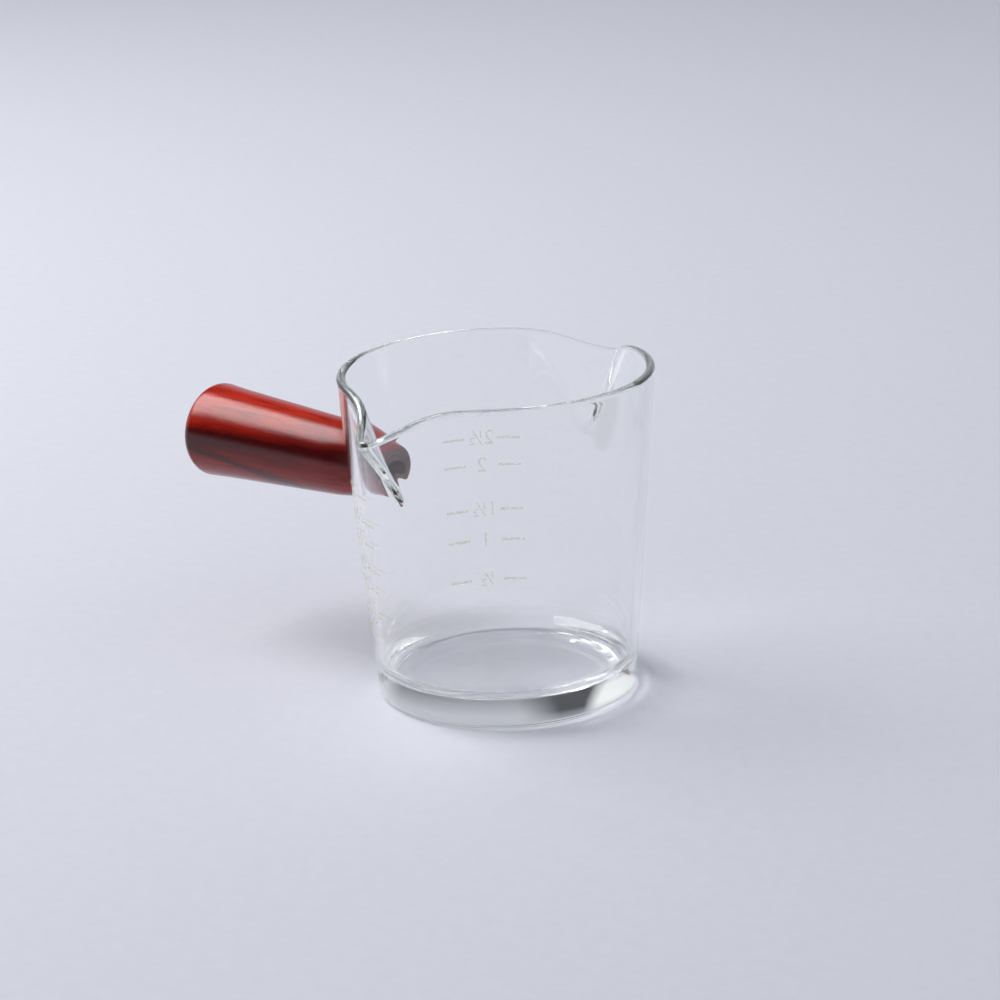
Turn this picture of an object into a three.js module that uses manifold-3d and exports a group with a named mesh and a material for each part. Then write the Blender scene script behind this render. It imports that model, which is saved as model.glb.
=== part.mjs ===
// Espresso shot glass: a tapered measuring glass with two pouring spouts and a turned wooden handle.
// Millimetres, +Z up. The origin is the middle of the underside, the handle points along -X,
// and the spouts face -Y and +Y.

import * as THREE from 'three';
import { mergeVertices } from 'three/addons/utils/BufferGeometryUtils.js';
import Module from 'manifold-3d';

// Glass cup: overall sizes
const CUP_HEIGHT = 63.8;
const BASE_DIAMETER = 50;
const RIM_DIAMETER = 60.2;
const WALL = 1.8;
const FLOOR = 4.8;

// Glass cup: rounded outer edge of the base, and the flat oval curve from the floor into the wall
const BASE_EDGE_RADIUS = 1.6;
const FLOOR_CORNER_WIDTH = 6;
const FLOOR_CORNER_HEIGHT = 4;

// Spouts: reach and dip of the lip, half widths along the rim, and height of the pulled zone
const SPOUT_REACH = 8.5;
const SPOUT_DIP = 5.15;
const SPOUT_HALF_WIDTH = 4.3;
const SPOUT_DIP_HALF_WIDTH = 5.8;
const SPOUT_LENGTH = 19.5;

// Spouts: how pointed the lip is, how narrow the V is at its foot, how softly the pull starts there,
// and the distance over which the keel is smoothed before the wall's thickness is laid on it
const SPOUT_POINT_POWER = 1.25;
const SPOUT_DIP_POINT_POWER = 1.4;
const SPOUT_BLUNTNESS = 0.15;
const SPOUT_LEAST_WIDTH = 0.25;
const SPOUT_SOFTNESS = 0.08;
const SPOUT_SMOOTHING = 2.2;

// Handle's place on the cup: height of its axis at the wall, and how much its free end rises
const HANDLE_HEIGHT = 39.3;
const HANDLE_RISE = THREE.MathUtils.degToRad(0.8);

// Glass stub, moulded with the cup, with a fillet at its foot that follows the round wall
const STUB_DIAMETER = 4.5;
const STUB_LENGTH = 16;
const STUB_END_RADIUS = 1;
const STUB_FILLET = 1;
const STUB_FOOT_BLEND = 2.5;
const STUB_FOOT_OVERLAP = 0.15;

// Wooden handle: a straight taper, drawn in a little more near its root
const HANDLE_GAP = 0.8;
const HANDLE_LENGTH = 47.4;
const HANDLE_ROOT_DIAMETER = 9.9;
const HANDLE_END_DIAMETER = 19;
const HANDLE_DRAW = 2;
const HANDLE_DRAW_LENGTH = 12;
const HANDLE_ROOT_EDGE_RADIUS = 0.8;
const HANDLE_END_EDGE_RADIUS = 2.2;
const BORE_END_CLEARANCE = 1.5;

// Adhesive sleeve between stub and bore
const GLUE_THICKNESS = 0.4;
const GLUE_SETBACK = 1;
const JOINT_GAP = 0.3;

// Facets: columns round the cup, crowding towards the spouts, rows up the pulled zone, steps of curves
const CUP_COLUMNS = 96;
const COLUMN_CROWDING = 0.7;
const SPOUT_ROWS = 9;
const EDGE_STEPS = 4;
const CORNER_STEPS = 6;
const RIM_STEPS = 6;
const DRAW_STEPS = 5;
const TURNED_COLUMNS = 40;

// Sizes that follow from those above
const baseRadius = BASE_DIAMETER / 2;
const halfWall = WALL / 2;
const stubRadius = STUB_DIAMETER / 2;
const glueInnerRadius = stubRadius + JOINT_GAP;
const glueOuterRadius = glueInnerRadius + GLUE_THICKNESS;
const boreRadius = glueOuterRadius + JOINT_GAP;

// The wall's middle line runs straight from above the base edge to the centre of the rounded rim.
const wallFoot = new THREE.Vector2(baseRadius - halfWall, BASE_EDGE_RADIUS);
const rimCentre = new THREE.Vector2(RIM_DIAMETER / 2 - halfWall, CUP_HEIGHT - halfWall);
const wallUp = rimCentre.clone().sub(wallFoot).normalize();
const wallOut = new THREE.Vector2(wallUp.y, -wallUp.x);
const wallTop = rimCentre.distanceTo(wallFoot);
const spoutFoot = wallTop - SPOUT_LENGTH;

const wasm = await Module();
wasm.setup();

/** A point of the wall, by distance along its middle line and distance outwards from that line. */
function wallPoint(along, outwards) {
  return wallFoot.clone().addScaledVector(wallUp, along).addScaledVector(wallOut, outwards);
}

/** Distance along the wall's middle line at which a line beside it reaches a height. */
function alongAtHeight(height, outwards) {
  return (height - wallPoint(0, outwards).y) / wallUp.y;
}

/** Points on an arc, both ends included. Angles are in radians, counted from the radial direction. */
function arc(centre, radius, from, to, steps) {
  const points = [];
  for (let i = 0; i <= steps; i += 1) {
    const angle = from + ((to - from) * i) / steps;
    points.push(new THREE.Vector2(centre.x + radius * Math.cos(angle), centre.y + radius * Math.sin(angle)));
  }
  return points;
}

/** The cup's half section, from the middle of the underside round the rim to the middle of the floor. */
function cupProfile() {
  const lean = Math.atan2(wallUp.x, wallUp.y);
  const edgeCentre = wallPoint(alongAtHeight(BASE_EDGE_RADIUS, halfWall - BASE_EDGE_RADIUS),
    halfWall - BASE_EDGE_RADIUS);
  const cornerTop = wallPoint(alongAtHeight(FLOOR + FLOOR_CORNER_HEIGHT, -halfWall), -halfWall);
  const cornerCentre = new THREE.Vector2(cornerTop.x - FLOOR_CORNER_WIDTH, cornerTop.y);

  const profile = [new THREE.Vector2(0, 0)];
  profile.push(...arc(edgeCentre, BASE_EDGE_RADIUS, -Math.PI / 2, -lean, EDGE_STEPS));
  for (let i = 0; i < SPOUT_ROWS; i += 1) {
    profile.push(wallPoint(spoutFoot + (SPOUT_LENGTH * i) / SPOUT_ROWS, halfWall));
  }
  profile.push(...arc(rimCentre, halfWall, -lean, Math.PI - lean, RIM_STEPS));
  for (let i = SPOUT_ROWS - 1; i >= 0; i -= 1) {
    profile.push(wallPoint(spoutFoot + (SPOUT_LENGTH * i) / SPOUT_ROWS, -halfWall));
  }
  for (const point of arc(new THREE.Vector2(), 1, 0, -Math.PI / 2, CORNER_STEPS)) {
    const reach = new THREE.Vector2(FLOOR_CORNER_WIDTH, FLOOR_CORNER_HEIGHT);
    profile.push(point.multiply(reach).add(cornerCentre));
  }
  profile.push(new THREE.Vector2(0, FLOOR));
  return profile;
}

/** A round solid about +Z from a half section, with its shared vertices merged. */
function turned(profile, columns) {
  const geometry = new THREE.LatheGeometry(profile, columns);
  geometry.rotateX(Math.PI / 2);
  geometry.deleteAttribute('normal');
  geometry.deleteAttribute('uv');
  return mergeVertices(geometry);
}

/** Height of a rounded peak of width 1 at a distance from its middle. */
function peak(distance, power) {
  const rounded = Math.hypot(distance, SPOUT_BLUNTNESS) - SPOUT_BLUNTNESS;
  return Math.exp(-(rounded ** power));
}

/** A share that starts softly from 0 and then grows evenly to 1. */
function softStart(share) {
  const full = Math.hypot(1, SPOUT_SOFTNESS) - SPOUT_SOFTNESS;
  return (Math.hypot(share, SPOUT_SOFTNESS) - SPOUT_SOFTNESS) / full;
}

/** The wall's middle surface with its spouts pulled, by angle from a spout and distance along the wall. */
function pulledWall(angle, along) {
  const flat = wallPoint(along, 0);
  const growth = Math.max(0, (along - spoutFoot) / SPOUT_LENGTH);
  const pull = softStart(growth);
  const sideways = (angle * rimCentre.x) / (SPOUT_LEAST_WIDTH + (1 - SPOUT_LEAST_WIDTH) * growth);
  const reach = SPOUT_REACH * pull * peak(sideways / SPOUT_HALF_WIDTH, SPOUT_POINT_POWER);
  const dip = SPOUT_DIP * pull * peak(sideways / SPOUT_DIP_HALF_WIDTH, SPOUT_DIP_POINT_POWER);
  const radius = flat.x + reach;
  return new THREE.Vector3(radius * Math.sin(angle), -radius * Math.cos(angle), flat.y - dip);
}

/** Carries one vertex of the upper wall along with the pulled middle surface, keeping its thickness. */
function carryVertex(angle, along, outwards) {
  const turn = SPOUT_SMOOTHING / rimCentre.x;
  const step = 1e-3;
  const onWall = Math.min(along, wallTop);
  const centre = pulledWall(angle, onWall);
  const around = pulledWall(angle + turn, onWall).sub(pulledWall(angle - turn, onWall));
  const up = centre.clone().sub(pulledWall(angle, onWall - step)).normalize();
  const normal = around.cross(up).normalize();
  return centre.addScaledVector(normal, outwards).addScaledVector(up, along - onWall);
}

/** Crowds the columns towards the spouts, then pulls a spout out of the wall on either side. */
function pullSpouts(geometry) {
  const position = geometry.attributes.position;
  for (let i = 0; i < position.count; i += 1) {
    const radius = Math.hypot(position.getX(i), position.getY(i));
    const height = position.getZ(i);
    const even = Math.atan2(position.getX(i), -position.getY(i));
    const angle = even - (COLUMN_CROWDING / 2) * Math.sin(2 * even);
    const fromFoot = new THREE.Vector2(radius, height).sub(wallFoot);
    const along = fromFoot.dot(wallUp);
    if (along > spoutFoot) {
      const back = Math.abs(angle) > Math.PI / 2;
      const fromSpout = back ? angle - Math.sign(angle) * Math.PI : angle;
      const carried = carryVertex(fromSpout, along, fromFoot.dot(wallOut));
      position.setXYZ(i, back ? -carried.x : carried.x, back ? -carried.y : carried.y, carried.z);
    } else {
      position.setXYZ(i, radius * Math.sin(angle), -radius * Math.cos(angle), height);
    }
  }
  return geometry;
}

/** A closed mesh as a solid that can be joined or cut. */
function toSolid(geometry) {
  const vertProperties = new Float32Array(geometry.attributes.position.array);
  const triVerts = new Uint32Array(geometry.index.array);
  return new wasm.Manifold(new wasm.Mesh({ numProp: 3, vertProperties, triVerts }));
}

/** A joined or cut solid as geometry. */
function toGeometry(solid) {
  const mesh = solid.getMesh();
  const geometry = new THREE.BufferGeometry();
  geometry.setAttribute('position', new THREE.BufferAttribute(mesh.vertProperties, 3));
  geometry.setIndex(new THREE.BufferAttribute(mesh.triVerts, 1));
  return geometry;
}

/** Radius of the wall's outside at a height. */
function outerRadius(height) {
  return wallPoint(alongAtHeight(height, halfWall), halfWall).x;
}

// The handle's own frame has +Z along its axis, away from the cup, and its zero on the wall's outside.
const handleFrame = new THREE.Matrix4()
  .makeTranslation(-outerRadius(HANDLE_HEIGHT), 0, HANDLE_HEIGHT)
  .multiply(new THREE.Matrix4().makeRotationY(HANDLE_RISE - Math.PI / 2));
const woodEnd = HANDLE_GAP + HANDLE_LENGTH;
const boreEnd = STUB_LENGTH + BORE_END_CLEARANCE;

/** The stub in the handle's frame, with a fillet that widens its foot. */
function straightStub() {
  const inside = -WALL - STUB_FILLET;
  const footRadius = stubRadius + STUB_FILLET;
  const filletCentre = new THREE.Vector2(footRadius, STUB_FILLET);
  const endCentre = new THREE.Vector2(stubRadius - STUB_END_RADIUS, STUB_LENGTH - STUB_END_RADIUS);
  return turned([
    new THREE.Vector2(0, inside),
    new THREE.Vector2(footRadius, inside),
    new THREE.Vector2(footRadius, -STUB_FOOT_OVERLAP),
    ...arc(filletCentre, STUB_FILLET, -Math.PI / 2, -Math.PI, EDGE_STEPS),
    ...arc(endCentre, STUB_END_RADIUS, 0, Math.PI / 2, EDGE_STEPS),
    new THREE.Vector2(0, STUB_LENGTH),
  ], TURNED_COLUMNS);
}

/** The stub in its place on the cup, with its foot moved onto the round wall. */
function placedStub() {
  const geometry = straightStub();
  const position = geometry.attributes.position;
  const point = new THREE.Vector3();
  for (let i = 0; i < position.count; i += 1) {
    const hold = 1 - THREE.MathUtils.smoothstep(position.getZ(i), 0, STUB_FOOT_BLEND);
    point.fromBufferAttribute(position, i).applyMatrix4(handleFrame);
    const wallX = -Math.sqrt(Math.max(0, outerRadius(point.z) ** 2 - point.y ** 2));
    point.x += hold * (wallX + outerRadius(HANDLE_HEIGHT));
    position.setXYZ(i, point.x, point.y, point.z);
  }
  return geometry;
}

/** What the wall's middle surface encloses, which keeps the stub from reaching into the cup. */
function insideMiddleSurface() {
  return turned([
    new THREE.Vector2(0, wallPoint(0, 0).y),
    wallPoint(0, 0),
    wallPoint(wallTop, 0),
    new THREE.Vector2(0, wallPoint(wallTop, 0).y),
  ], CUP_COLUMNS);
}

/** The glass in one piece: tapered cup, two spouts, rounded rim, and the stub for the handle. */
function glassCup() {
  const cup = toSolid(pullSpouts(turned(cupProfile(), CUP_COLUMNS)));
  const stub = toSolid(placedStub()).subtract(toSolid(insideMiddleSurface()));
  return toGeometry(cup.add(stub));
}

/** The cured adhesive round the stub, a plain sleeve. */
function adhesiveSleeve() {
  const start = HANDLE_GAP + GLUE_SETBACK;
  const section = [
    new THREE.Vector2(glueInnerRadius, start),
    new THREE.Vector2(glueOuterRadius, start),
    new THREE.Vector2(glueOuterRadius, STUB_LENGTH),
    new THREE.Vector2(glueInnerRadius, STUB_LENGTH),
  ];
  return turned([...section, section[0].clone()], TURNED_COLUMNS);
}

// The handle's taper, before it is drawn in at the root
const taperRoot = HANDLE_ROOT_DIAMETER / 2 + HANDLE_DRAW;
const taperSlope = (HANDLE_END_DIAMETER / 2 - taperRoot) / HANDLE_LENGTH;
const rootLean = Math.atan(taperSlope + (2 * HANDLE_DRAW) / HANDLE_DRAW_LENGTH);

/** Radius of the handle at a distance from its root. */
function handleRadius(fromRoot) {
  const draw = Math.max(0, 1 - fromRoot / HANDLE_DRAW_LENGTH) ** 2;
  return taperRoot + taperSlope * fromRoot - HANDLE_DRAW * draw;
}

/** The turned handle: a taper that is thicker at its free end, with a blind bore at the cup. */
function turnedHandle() {
  const endRadius = HANDLE_END_DIAMETER / 2;
  const edgeEnd = HANDLE_ROOT_EDGE_RADIUS * (1 - Math.sin(rootLean));
  const rootEdge = new THREE.Vector2(
    handleRadius(edgeEnd) - HANDLE_ROOT_EDGE_RADIUS * Math.cos(rootLean),
    HANDLE_GAP + HANDLE_ROOT_EDGE_RADIUS,
  );
  const endEdge = new THREE.Vector2(endRadius - HANDLE_END_EDGE_RADIUS, woodEnd - HANDLE_END_EDGE_RADIUS);
  const profile = [
    new THREE.Vector2(0, boreEnd),
    new THREE.Vector2(boreRadius, boreEnd),
    new THREE.Vector2(boreRadius, HANDLE_GAP),
    ...arc(rootEdge, HANDLE_ROOT_EDGE_RADIUS, -Math.PI / 2, -rootLean, EDGE_STEPS),
  ];
  for (let i = 1; i <= DRAW_STEPS; i += 1) {
    const fromRoot = edgeEnd + ((HANDLE_DRAW_LENGTH - edgeEnd) * i) / DRAW_STEPS;
    profile.push(new THREE.Vector2(handleRadius(fromRoot), HANDLE_GAP + fromRoot));
  }
  profile.push(...arc(endEdge, HANDLE_END_EDGE_RADIUS, 0, Math.PI / 2, EDGE_STEPS));
  profile.push(new THREE.Vector2(0, woodEnd));
  return turned(profile, TURNED_COLUMNS);
}

/** A named piece with its own finish. */
function piece(name, geometry, finish) {
  const mesh = new THREE.Mesh(geometry, new THREE.MeshStandardMaterial(finish));
  mesh.name = name;
  return mesh;
}

const handleAssembly = new THREE.Group();
handleAssembly.applyMatrix4(handleFrame);
handleAssembly.add(
  piece('handle_adhesive', adhesiveSleeve(), { color: 0x5a3a2c, roughness: 0.45, metalness: 0 }),
  piece('wood_handle', turnedHandle(), { color: 0x7a2117, roughness: 0.32, metalness: 0 }),
);

const shotGlass = new THREE.Group();
shotGlass.add(
  piece('glass_cup', glassCup(), {
    color: 0xeef2f3, roughness: 0.03, metalness: 0, transparent: true, opacity: 0.35,
  }),
  handleAssembly,
);

export default shotGlass;
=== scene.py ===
"""Dresses an espresso shot glass: a clear cup with two spouts, printed scales and a turned wood handle."""

import logging
import math
from dataclasses import dataclass, field
from enum import Enum
from typing import Any, Callable, Sequence

import bpy
import numpy as np
from mathutils import Matrix, Vector


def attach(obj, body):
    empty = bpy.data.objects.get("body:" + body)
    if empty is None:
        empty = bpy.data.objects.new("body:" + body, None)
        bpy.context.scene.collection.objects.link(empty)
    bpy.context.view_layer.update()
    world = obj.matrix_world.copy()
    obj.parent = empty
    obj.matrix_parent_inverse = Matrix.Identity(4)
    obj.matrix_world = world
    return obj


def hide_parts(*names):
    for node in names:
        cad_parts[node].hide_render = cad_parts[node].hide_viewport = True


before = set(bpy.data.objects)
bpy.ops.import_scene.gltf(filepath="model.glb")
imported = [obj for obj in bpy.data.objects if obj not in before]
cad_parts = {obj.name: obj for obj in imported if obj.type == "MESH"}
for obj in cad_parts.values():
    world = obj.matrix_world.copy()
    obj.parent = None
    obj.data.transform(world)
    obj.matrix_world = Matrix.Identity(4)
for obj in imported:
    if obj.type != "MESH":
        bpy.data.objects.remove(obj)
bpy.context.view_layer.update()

LOG = logging.getLogger("shot_glass")
BODY = "root"
MM = 0.001

Colour = tuple[float, float, float, float]
Range = tuple[float, float]
Profile = list[tuple[float, float]]
Piece = bpy.types.Object
Material = bpy.types.Material
Tree = bpy.types.NodeTree
Node = bpy.types.Node
Socket = bpy.types.NodeSocket


class ScaleUnit(Enum):
    """The two measures that are printed on the cup."""

    OUNCE = "ounce_marks"
    MILLILITRE = "millilitre_marks"


class BooleanWay(Enum):
    """How one solid meets another."""

    JOIN = "UNION"
    CUT = "DIFFERENCE"


@dataclass(frozen=True)
class CupForm:
    """Sizes of the cup in metres, and the surface that its wall follows.

    An angle is counted from -Y towards +X, and a spout stands at 0 and at half a turn.
    """

    height: float = 63.8 * MM
    base_radius: float = 25.0 * MM
    rim_radius: float = 30.1 * MM
    wall: float = 1.8 * MM
    floor: float = 4.8 * MM
    base_edge: float = 1.6 * MM
    floor_corner_width: float = 6.0 * MM
    floor_corner_height: float = 4.0 * MM
    spout_reach: float = 8.5 * MM
    spout_dip: float = 5.15 * MM
    spout_half_width: float = 4.3 * MM
    spout_dip_half_width: float = 5.8 * MM
    spout_length: float = 19.5 * MM
    spout_point_power: float = 1.25
    spout_dip_point_power: float = 1.4
    spout_bluntness: float = 0.15
    spout_least_width: float = 0.25
    spout_softness: float = 0.08
    spout_smoothing: float = 2.2 * MM

    @property
    def wall_foot(self) -> Vector:
        """Lowest point of the wall's middle line, as radius and height."""
        return Vector((self.base_radius - self.wall / 2, self.base_edge))

    @property
    def rim_centre(self) -> Vector:
        """Middle of the rounded rim, as radius and height."""
        return Vector((self.rim_radius - self.wall / 2, self.height - self.wall / 2))

    @property
    def wall_top(self) -> float:
        """Length of the wall's middle line."""
        return (self.rim_centre - self.wall_foot).length

    @property
    def wall_up(self) -> Vector:
        """Direction of the wall's middle line, upwards."""
        return (self.rim_centre - self.wall_foot).normalized()

    @property
    def wall_out(self) -> Vector:
        """Direction out of the wall, square to its middle line."""
        return Vector((self.wall_up.y, -self.wall_up.x))

    @property
    def lean(self) -> float:
        """Angle by which the wall leans outwards."""
        return math.atan2(self.wall_up.x, self.wall_up.y)

    def wall_point(self, along: float, outwards: float) -> tuple[float, float]:
        """Gives a point of the wall.

        Args:
            along: Distance up the middle line.
            outwards: Distance out from the middle line.

        Returns:
            The radius and the height.
        """
        point = self.wall_foot + self.wall_up * along + self.wall_out * outwards
        return point.x, point.y

    def outer_radius(self, height: np.ndarray | float) -> np.ndarray | float:
        """Gives the radius of the outer wall.

        Args:
            height: Height or heights above the table.

        Returns:
            The radius at each height.
        """
        start, end = self.wall_point(0, self.wall / 2), self.wall_point(self.wall_top, self.wall / 2)
        return start[0] + (height - start[1]) * (end[0] - start[0]) / (end[1] - start[1])

    def _peak(self, offset: np.ndarray, power: float) -> np.ndarray:
        """Gives the spout's rounded peak, as a share of its height.

        Args:
            offset: Distances from the spout's middle, in half widths.
            power: How pointed the peak is.

        Returns:
            The share at each distance.
        """
        blunt = self.spout_bluntness
        return np.exp(-((np.hypot(offset, blunt) - blunt) ** power))

    def pulled_wall(self, angle: np.ndarray, along: np.ndarray) -> np.ndarray:
        """Gives points of the middle surface once the spout at angle 0 is pulled out of it.

        Args:
            angle: Angles from the spout.
            along: Distances up the middle line.

        Returns:
            One row of x, y and z for each point.
        """
        radius = self.wall_foot.x + along * self.wall_up.x
        height = self.wall_foot.y + along * self.wall_up.y
        growth = np.maximum(0.0, (along - self.wall_top + self.spout_length) / self.spout_length)
        soft = self.spout_softness
        pull = (np.hypot(growth, soft) - soft) / (math.hypot(1, soft) - soft)
        width = self.spout_least_width + (1 - self.spout_least_width) * growth
        sideways = angle * self.rim_centre.x / width
        reach = self.spout_reach * pull * self._peak(sideways / self.spout_half_width, self.spout_point_power)
        dip_offset = sideways / self.spout_dip_half_width
        dip = self.spout_dip * pull * self._peak(dip_offset, self.spout_dip_point_power)
        radius = radius + reach
        return np.stack([radius * np.sin(angle), -radius * np.cos(angle), height - dip], axis=-1)

    def carried(self, angle: np.ndarray, along: np.ndarray, outwards: np.ndarray) -> np.ndarray:
        """Carries points of the plain wall to where the pulled wall has them.

        The thickness is set out square to a smoothed surface, so that it doesn't fold in the spout's keel.

        Args:
            angle: Angles from the spout.
            along: Distances up the middle line.
            outwards: Distances out from the middle line.

        Returns:
            One row of x, y and z for each point.
        """
        turn, rise = self.spout_smoothing / self.rim_centre.x, 1e-6
        held = np.minimum(along, self.wall_top)
        centre = self.pulled_wall(angle, held)
        across = self.pulled_wall(angle + turn, held) - self.pulled_wall(angle - turn, held)
        upwards = centre - self.pulled_wall(angle, held - rise)
        normal = np.cross(across, upwards)
        normal /= np.linalg.norm(normal, axis=1, keepdims=True)
        upwards /= np.linalg.norm(upwards, axis=1, keepdims=True)
        return centre + normal * outwards[:, None] + upwards * (along - held)[:, None]


class Bench:
    """Work that every piece goes through: turning, joining, placing and smoothing."""

    WELD = 0.0005 * MM

    @staticmethod
    def clear() -> None:
        """Leaves nothing selected."""
        bpy.ops.object.select_all(action="DESELECT")

    @staticmethod
    def pick(piece: Piece) -> None:
        """Selects one piece alone and makes it the active one.

        Args:
            piece: The piece.
        """
        Bench.clear()
        piece.select_set(True)
        bpy.context.view_layer.objects.active = piece

    @staticmethod
    def turn(name: str, profile: Profile, columns: int) -> Piece:
        """Turns a profile about the Z axis, as on a lathe.

        Args:
            name: Name of the piece.
            profile: Radius and height of each point, from the axis and back to it.
            columns: Number of steps round the turn.

        Returns:
            The closed piece.
        """
        Bench.clear()
        bpy.ops.mesh.primitive_plane_add(size=MM)
        piece = bpy.context.object
        piece.name = piece.data.name = name
        bpy.ops.object.mode_set(mode="EDIT")
        bpy.ops.mesh.select_all(action="SELECT")
        bpy.ops.mesh.merge(type="CENTER")
        bpy.ops.transform.translate(value=(profile[0][0], 0, profile[0][1]))
        for start, end in zip(profile, profile[1:]):
            step = (end[0] - start[0], 0, end[1] - start[1])
            bpy.ops.mesh.extrude_region_move(TRANSFORM_OT_translate={"value": step})
        bpy.ops.mesh.select_all(action="SELECT")
        bpy.ops.mesh.spin(steps=columns, angle=math.tau, center=(0, 0, 0), axis=(0, 0, 1))
        bpy.ops.mesh.select_all(action="SELECT")
        bpy.ops.mesh.remove_doubles(threshold=Bench.WELD)
        bpy.ops.mesh.normals_make_consistent(inside=False)
        bpy.ops.object.mode_set(mode="OBJECT")
        return piece

    @staticmethod
    def move_points(piece: Piece, rule: Callable[[np.ndarray], np.ndarray]) -> None:
        """Moves every point of a piece by a rule.

        Args:
            piece: The piece.
            rule: Takes the rows of points and gives them back where they go.
        """
        points = np.empty(len(piece.data.vertices) * 3)
        piece.data.vertices.foreach_get("co", points)
        piece.data.vertices.foreach_set("co", rule(points.reshape(-1, 3)).ravel())
        piece.data.update()

    @staticmethod
    def set_down(piece: Piece, place: Matrix) -> None:
        """Puts a piece in its place and keeps the place in its mesh.

        Args:
            piece: The piece.
            place: Where it goes.
        """
        Bench.pick(piece)
        piece.matrix_world = place
        bpy.ops.object.transform_apply(location=True, rotation=True, scale=True)

    @staticmethod
    def meet(piece: Piece, other: Piece, way: BooleanWay) -> None:
        """Joins another solid to a piece or cuts it away, and uses the other solid up.

        Args:
            piece: The piece that stays.
            other: The solid that is used up.
            way: Whether it is joined or cut away.
        """
        Bench.pick(piece)
        meeting = piece.modifiers.new(way.name.lower(), "BOOLEAN")
        meeting.operation = way.value
        meeting.solver = "EXACT"
        meeting.object = other
        bpy.ops.object.modifier_apply(modifier=meeting.name)
        bpy.data.objects.remove(other)

    @staticmethod
    def smooth(piece: Piece, degrees: float) -> None:
        """Shades a piece smooth where its faces meet at less than an angle."""
        Bench.pick(piece)
        bpy.ops.object.shade_smooth_by_angle(angle=math.radians(degrees))

    @staticmethod
    def dress(piece: Piece, finish: Material) -> None:
        """Gives a piece one finish all over."""
        piece.data.materials.clear()
        piece.data.materials.append(finish)

    @staticmethod
    def arc(centre: tuple[float, float], radius: float, start: float, end: float, steps: int) -> Profile:
        """Gives the points of an arc in a profile.

        Args:
            centre: Radius and height of the arc's middle.
            radius: The arc's own radius.
            start: Angle of the first point, in radians from the outward direction.
            end: Angle of the last point.
            steps: Number of steps between them.

        Returns:
            The radius and height of each point.
        """
        angles = [start + (end - start) * step / steps for step in range(steps + 1)]
        return [(centre[0] + radius * math.cos(a), centre[1] + radius * math.sin(a)) for a in angles]


class NodeBench:
    """Sets out and joins the nodes of one node tree."""

    COLUMN_WIDTH = 220
    MIX_COLOURS = (6, 7)
    MIX_RESULT = 2

    def __init__(self, tree: Tree) -> None:
        """Keeps the tree that nodes are added to."""
        self.tree = tree
        self.column = 0

    def add(self, kind: str, label: str, values: dict[str, Any] | None = None, **settings: Any) -> Node:
        """Adds one node.

        Args:
            kind: Type of the node.
            label: What the node does.
            values: Values for its input sockets, by name.
            settings: Values for its own settings.

        Returns:
            The node.
        """
        node = self.tree.nodes.new(kind)
        node.label = label
        node.location = (self.COLUMN_WIDTH * self.column, 0)
        self.column += 1
        for name, value in settings.items():
            setattr(node, name, value)
        for name, value in (values or {}).items():
            node.inputs[name].default_value = value
        return node

    def join(self, start: Socket, end: Socket) -> None:
        """Joins an output socket to an input socket."""
        self.tree.links.new(start, end)

    def blend(self, share: Socket, first: Any, second: Any, label: str,
              way: str = "MIX") -> Socket:
        """Mixes two colours.

        Args:
            share: Share of the second colour.
            first: A colour or the socket that gives it.
            second: A colour or the socket that gives it.
            label: What the mix does.
            way: How the colours mix.

        Returns:
            The socket of the mixed colour.
        """
        node = self.add("ShaderNodeMix", label, data_type="RGBA", blend_type=way)
        self.join(share, node.inputs[0])
        for value, number in zip((first, second), self.MIX_COLOURS):
            socket = node.inputs[number]
            if isinstance(value, Socket):
                self.join(value, socket)
            else:
                socket.default_value = value
        return node.outputs[self.MIX_RESULT]

    def span(self, value: Socket, source: tuple[float, float], target: tuple[float, float],
             label: str) -> Socket:
        """Maps a range of values to another.

        Args:
            value: The socket that gives the value.
            source: Lowest and highest value that comes in.
            target: What they become.
            label: What the mapping does.

        Returns:
            The socket of the mapped value.
        """
        node = self.add("ShaderNodeMapRange", label, {
            "From Min": source[0], "From Max": source[1], "To Min": target[0], "To Max": target[1]})
        self.join(value, node.inputs["Value"])
        return node.outputs["Result"]


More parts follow.
